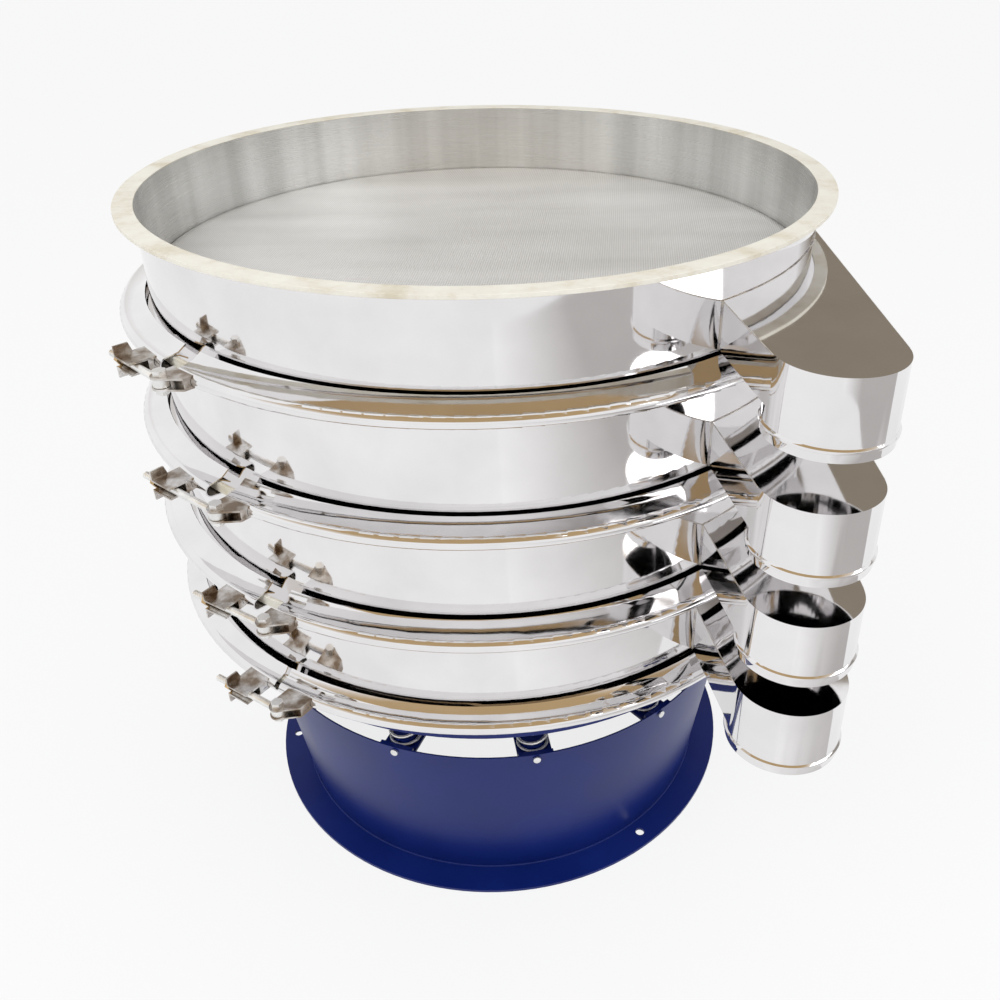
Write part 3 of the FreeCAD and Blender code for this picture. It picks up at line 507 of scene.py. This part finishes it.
def spout_welds(number):
    """The seam round the chute's mouth on the frame, and the finer seams along the cover's two edges."""
    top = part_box("spout_%d" % number)[1][2] - SHEET / 2
    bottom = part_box("clamp_band_%d" % number)[1][2] + 0.004
    seat = WALL_RADIUS + WELD_STAND_OFF
    mouth = [around(seat, MOUTH_NEAR, bottom)] + arc(seat, MOUTH_NEAR, MOUTH_FAR, top, 40)
    mouth += arc(seat, MOUTH_FAR, MOUTH_NEAR, bottom, 40)
    weld_beads("mouth_weld_%d" % number, [(mouth, False)], 0.0021, 0.0019, WELD, VIBRATING,
               "polished_stainless")
    pipe = mounts["outlet_%d" % number]
    centre, radius = Vector(pipe["pos_m"]), pipe["dims"]["r_mm"] / 1000
    edges = []
    for azimuth, side in ((MOUTH_NEAR, 1), (MOUTH_FAR, -1)):
        corner = around(WALL_RADIUS, azimuth, top)
        reach = (corner - centre).to_2d()
        turned = math.atan2(reach.y, reach.x) + side * math.acos(radius / reach.length)
        touch = Vector((centre.x + radius * math.cos(turned), centre.y + radius * math.sin(turned), top))
        edges.append(([corner, touch], False))
    weld_beads("cover_weld_%d" % number, edges, 0.0011, 0.0012, WELD, VIBRATING, "polished_stainless")


def foot_weld():
    """The painted weld between the drum's wall and its foot ring."""
    ring = arc(DRUM_FOOT_RADIUS + 0.001, 0, math.tau, FOOT_THICK + 0.0005, 240)[:-1]
    weld_beads("foot_weld", [(ring, True)], 0.0035, 0.0035, FINISH["navy_paint"], STAND, "navy_paint")


# ---------------------------------------------------------------- springs

def support_springs():
    """Twelve coil springs of round wire with closed end turns."""
    low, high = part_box("support_springs")
    foot, rise = low[2] + WIRE_RADIUS, high[2] - low[2] - 2 * WIRE_RADIUS
    seats = points_mesh("spring_seats", [
        around(SPRING_CIRCLE, SPRING_START + math.tau * n / SPRING_COUNT, foot) for n in range(SPRING_COUNT)])
    tree = Pattern("coil_spring", seats, Coil=COIL_RADIUS, Wire=WIRE_RADIUS, Turns=SPRING_TURNS, Rise=rise)
    turns, wire, coil_radius, full = (tree.size(s) for s in ("Turns", "Wire", "Coil", "Rise"))
    axis = tree.add("GeometryNodeCurvePrimitiveLine").outputs["Curve"]
    axis = tree.add("GeometryNodeResampleCurve", Curve=axis, Count=int(SPRING_TURNS * 22)).outputs["Curve"]
    along = tree.add("GeometryNodeSplineParameter").outputs["Factor"]
    turned = tree.math("MULTIPLY", along, turns)
    closed = tree.math("MULTIPLY", wire, 2.0)
    open_rise = tree.math("DIVIDE", tree.math("SUBTRACT", full, tree.math("MULTIPLY", closed, 2.0)),
                          tree.math("SUBTRACT", turns, 2.0))
    first = tree.math("MULTIPLY", turned, closed)
    middle = tree.math("ADD", closed, tree.math("MULTIPLY", tree.math("SUBTRACT", turned, 1.0), open_rise))
    last = tree.math("SUBTRACT", full, tree.math("MULTIPLY", tree.math("SUBTRACT", turns, turned), closed))
    level = tree.math("MAXIMUM", first, tree.math("MINIMUM", middle, last))
    angle = tree.math("MULTIPLY", turned, math.tau)
    place = tree.add("ShaderNodeCombineXYZ", X=tree.math("MULTIPLY", tree.math("COSINE", angle), coil_radius),
                     Y=tree.math("MULTIPLY", tree.math("SINE", angle), coil_radius), Z=level)
    coil = tree.add("GeometryNodeSetPosition", Geometry=axis, Position=place.outputs["Vector"])
    section = tree.add("GeometryNodeCurvePrimitiveCircle", Resolution=8, Radius=wire).outputs["Curve"]
    spring = tree.add("GeometryNodeCurveToMesh", Curve=coil.outputs["Geometry"], Profile_Curve=section,
                      Fill_Caps=True)
    points = tree.add("GeometryNodeMeshToPoints", Mesh=tree.start.outputs["Geometry"]).outputs["Points"]
    ring = tree.add("GeometryNodeInstanceOnPoints", Points=points, Instance=spring.outputs["Mesh"])
    mesh = tree.mesh("coil_springs", ring.outputs["Instances"], FINISH["zinc"])
    mesh.shade_smooth()
    obj = new_piece("coil_springs", mesh)
    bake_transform(obj)
    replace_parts(obj, "support_springs")


# ---------------------------------------------------------------- closures

def eye_bolt(number):
    """A forged eye with a turned shank and a cut thread out to the chamfered tip."""
    node = "swing_bolt_%d" % number
    pivot = Vector(joints["swing_%d" % number]["pos_m"])
    along = Vector(joints["nut_run_%d" % number]["axis"]).normalized()
    mesh = merged_mesh(node)
    reach = max((v.co - pivot).dot(along) for v in mesh.vertices)
    nut = frame["nodes"]["clamp_nut_%d" % number].data
    thread_from = min((v.co - pivot).dot(along) for v in nut.vertices) - 0.022
    bm = bmesh.new()
    bm.from_mesh(mesh)
    cut = bmesh.ops.bisect_plane(bm, geom=bm.verts[:] + bm.edges[:] + bm.faces[:], dist=1e-7,
                                 plane_co=pivot + along * SHANK_START, plane_no=along, clear_outer=True)
    bmesh.ops.holes_fill(bm, edges=[e for e in cut["geom_cut"] if isinstance(e, bmesh.types.BMEdge)])
    bm.to_mesh(mesh)
    bm.free()
    shade(mesh)
    eye = new_piece(node + "_eye", mesh, FINISH["zinc"])
    ease_edges(eye, 0.0012)

    step = THREAD_PITCH / 4
    stations = [(SHANK_START - 0.0005, ROD_RADIUS * 0.9), (SHANK_START, ROD_RADIUS)]
    stations += [(thread_from + n * step, None) for n in range(int((reach - 0.0015 - thread_from) / step))]
    stations += [(reach, ROD_RADIUS - 0.0018)]
    side, sides = along.cross(Vector((0, 0, 1))), 20
    bm = bmesh.new()
    rows = []
    for distance, plain_radius in stations:
        row = []
        for k in range(sides):
            a, radius = math.tau * k / sides, plain_radius
            if radius is None:
                phase = (distance / THREAD_PITCH - k / sides) % 1.0
                start = min(1.0, (distance - thread_from) / THREAD_PITCH)
                radius = ROD_RADIUS - THREAD_DEPTH * start * (1 - abs(2 * phase - 1))
            spot = pivot + along * distance + radius * (side * math.cos(a) + Vector((0, 0, math.sin(a))))
            row.append(bm.verts.new(spot))
        rows.append(row)
    for near, far in zip(rows, rows[1:]):
        for k in range(sides):
            nxt = (k + 1) % sides
            bm.faces.new((near[k], near[nxt], far[nxt], far[k]))
    bm.faces.new(list(reversed(rows[0])))
    bm.faces.new(rows[-1])
    bmesh.ops.recalc_face_normals(bm, faces=bm.faces)
    rod_mesh = bpy.data.meshes.new(node + "_rod")
    bm.to_mesh(rod_mesh)
    bm.free()
    shade(rod_mesh, math.radians(60))
    rod = new_piece(node + "_rod", rod_mesh, FINISH["zinc"])
    finish_piece(eye, BODY_OF[node], "zinc", node)
    finish_piece(rod, BODY_OF[node], "zinc", node)


# ---------------------------------------------------------------- the whole sieve

for name in FRAMES:
    vibrating_frame(name)
for number in DECKS:
    eye_bolt(number)
    spout_welds(number)
    softened_copy("hook_bracket_%d" % number, 0.0006, WORN)
    softened_copy("hinge_bracket_%d" % number, 0.0006, WORN)
    softened_copy("clamp_nut_%d" % number, 0.0008)
    softened_copy("spout_%d" % number, 0.0004)
    softened_copy("clamp_band_%d" % number)
for number in DECKS[:3]:
    screen_cloth("screen_cloth_%d" % number)
support_springs()
foot_weld()
softened_copy("rim_gasket", 0.0009)
softened_copy("seat_bolts", 0.0022)
softened_copy("base_drum", 0.0008)
dressed = {n for piece in bpy.data.objects for n in piece.get("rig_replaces", [])}
for name in frame["nodes"]:
    if name not in dressed:
        softened_copy(name, 0.0004)


# ---------------------------------------------------------------- studio

def white_to_eye(tree, shader, share):
    """Adds plain white to what the eye and mirror-like surfaces see, and leaves the rest as it is."""
    path = tree.add("ShaderNodeLightPath")
    mirrored = tree.math("MAXIMUM", path.outputs["Is Glossy Ray"], path.outputs["Is Transmission Ray"])
    seen = tree.math("MAXIMUM", path.outputs["Is Camera Ray"], mirrored)
    white = tree.add("ShaderNodeEmission", Color=(1, 1, 1, 1))
    mix = tree.add("ShaderNodeMixShader")
    tree.feed(mix, 0, tree.math("MULTIPLY", seen, share))
    tree.links.new(shader, mix.inputs[1])
    tree.links.new(white.outputs["Emission"], mix.inputs[2])
    return mix.outputs["Shader"]


def reflection_card(name, centre, width, height, towards, colour):
    """A large glowing card, faded to white at its two ends, that only shows in the polished metal as a
    reflection.
    """
    mesh = bpy.data.meshes.new(name)
    w, h = width / 2, height / 2
    turn = Vector(towards).to_track_quat("Z", "Y")
    corners = [Vector(centre) + turn @ Vector(c) for c in ((-w, -h, 0), (w, -h, 0), (w, h, 0), (-w, h, 0))]
    mesh.from_pydata([tuple(c) for c in corners], [], [(0, 1, 2, 3)])
    mesh.uv_layers.new(name="card")
    for loop, corner in zip(mesh.uv_layers["card"].data, ((0, 0), (1, 0), (1, 1), (0, 1))):
        loop.uv = corner
    tree = Tree(name)
    place = tree.add("ShaderNodeUVMap", {"uv_map": "card"}).outputs["UV"]
    across = tree.add("ShaderNodeSeparateXYZ", Vector=place).outputs["X"]
    white = (1, 1, 1)
    fade = tree.ramp(across, [(0.0, white), (CARD_FADE, colour), (1 - CARD_FADE, colour), (1.0, white)])
    tree.set(Base_Color=(0, 0, 0, 1), Roughness=1.0, Emission_Color=fade, Emission_Strength=1.0)
    card = new_piece(name, mesh, tree.material)
    card.visible_camera = card.visible_diffuse = card.visible_shadow = False


def surround():
    """A world that is white to the eye and in reflections, and a little less as light."""
    world = bpy.data.worlds.new("surround")
    bpy.context.scene.world = world
    world.use_nodes = True
    nodes, links = world.node_tree.nodes, world.node_tree.links
    path = nodes.new("ShaderNodeLightPath")
    seen, mirrored = nodes.new("ShaderNodeMath"), nodes.new("ShaderNodeMath")
    seen.operation = mirrored.operation = "MAXIMUM"
    links.new(path.outputs["Is Glossy Ray"], mirrored.inputs[0])
    links.new(path.outputs["Is Transmission Ray"], mirrored.inputs[1])
    links.new(path.outputs["Is Camera Ray"], seen.inputs[0])
    links.new(mirrored.outputs["Value"], seen.inputs[1])
    level = nodes.new("ShaderNodeMapRange")
    level.inputs["To Min"].default_value = SURROUND_LIGHT
    links.new(seen.outputs["Value"], level.inputs["Value"])
    nodes["Background"].inputs["Color"].default_value = (1, 1, 1, 1)
    links.new(level.outputs["Result"], nodes["Background"].inputs["Strength"])


def studio():
    """A white floor and surround, soft light from above, and cards for the metal to reflect."""
    tree = Tree("studio_floor")
    tree.set(Base_Color=(0.82, 0.82, 0.83, 1), Roughness=0.9)
    out = tree.nodes["Material Output"]
    tree.links.new(white_to_eye(tree, tree.shader.outputs["BSDF"], 0.82), out.inputs["Surface"])
    bpy.ops.mesh.primitive_plane_add(size=60, location=(0, 0, -0.0005))
    floor = bpy.context.object
    floor.name = "floor"
    floor.data.materials.append(tree.material)
    surround()
    for name, place, size, power in (("key_panel", (-2.5, -3.0, 4.5), 3.0, 90),
                                     ("fill_panel", (3.5, -2.0, 3.0), 2.5, 45)):
        light = bpy.data.lights.new(name, "AREA")
        light.shape, light.size, light.energy = "SQUARE", size, power
        lamp = bpy.data.objects.new(name, light)
        bpy.context.scene.collection.objects.link(lamp)
        lamp.location = place
        lamp.rotation_euler = (Vector((0, 0, 0.7)) - Vector(place)).to_track_quat("-Z", "Y").to_euler()
    up, down, front, left = (0, 0, 1), (0, 0.2, -1), (0, -1, 0), (-1, 0, 0)
    for name, centre, width, height, towards, colour in (
        ("front_ceiling_card", (-0.2, -2.7, 3.1), 9.0, 3.8, down, (0.50, 0.35, 0.18)),
        ("back_wall_card", (1.4, 4.2, 3.0), 9.0, 4.6, front, (0.26, 0.22, 0.17)),
        ("right_floor_card", (2.4, -2.2, CARD_LIFT), 4.6, 2.8, up, (0.50, 0.48, 0.47)),
        ("right_wall_card", (4.0, -0.5, 1.2), 3.0, 2.0, left, (0.34, 0.31, 0.28)),
    ):
        reflection_card(name, centre, width, height, towards, colour)


def camera():
    """The camera stands in front at eye height and looks down at the sieve."""
    data = bpy.data.cameras.new("camera")
    data.sensor_width, data.lens = 36.0, 35.93
    data.shift_x, data.shift_y = -0.045, -0.0366
    eye = bpy.data.objects.new("camera", data)
    bpy.context.scene.collection.objects.link(eye)
    yaw, pitch, roll = math.radians(-3.531), math.radians(90 - 30.149), math.radians(-0.394)
    turn = Matrix.Rotation(yaw, 4, "Z") @ Matrix.Rotation(pitch, 4, "X") @ Matrix.Rotation(roll, 4, "Z")
    eye.matrix_world = Matrix.Translation((0, -1.7801, 1.7129)) @ turn
    bpy.context.scene.camera = eye


camera()
studio()
bpy.context.scene.view_settings.view_transform = "Standard"
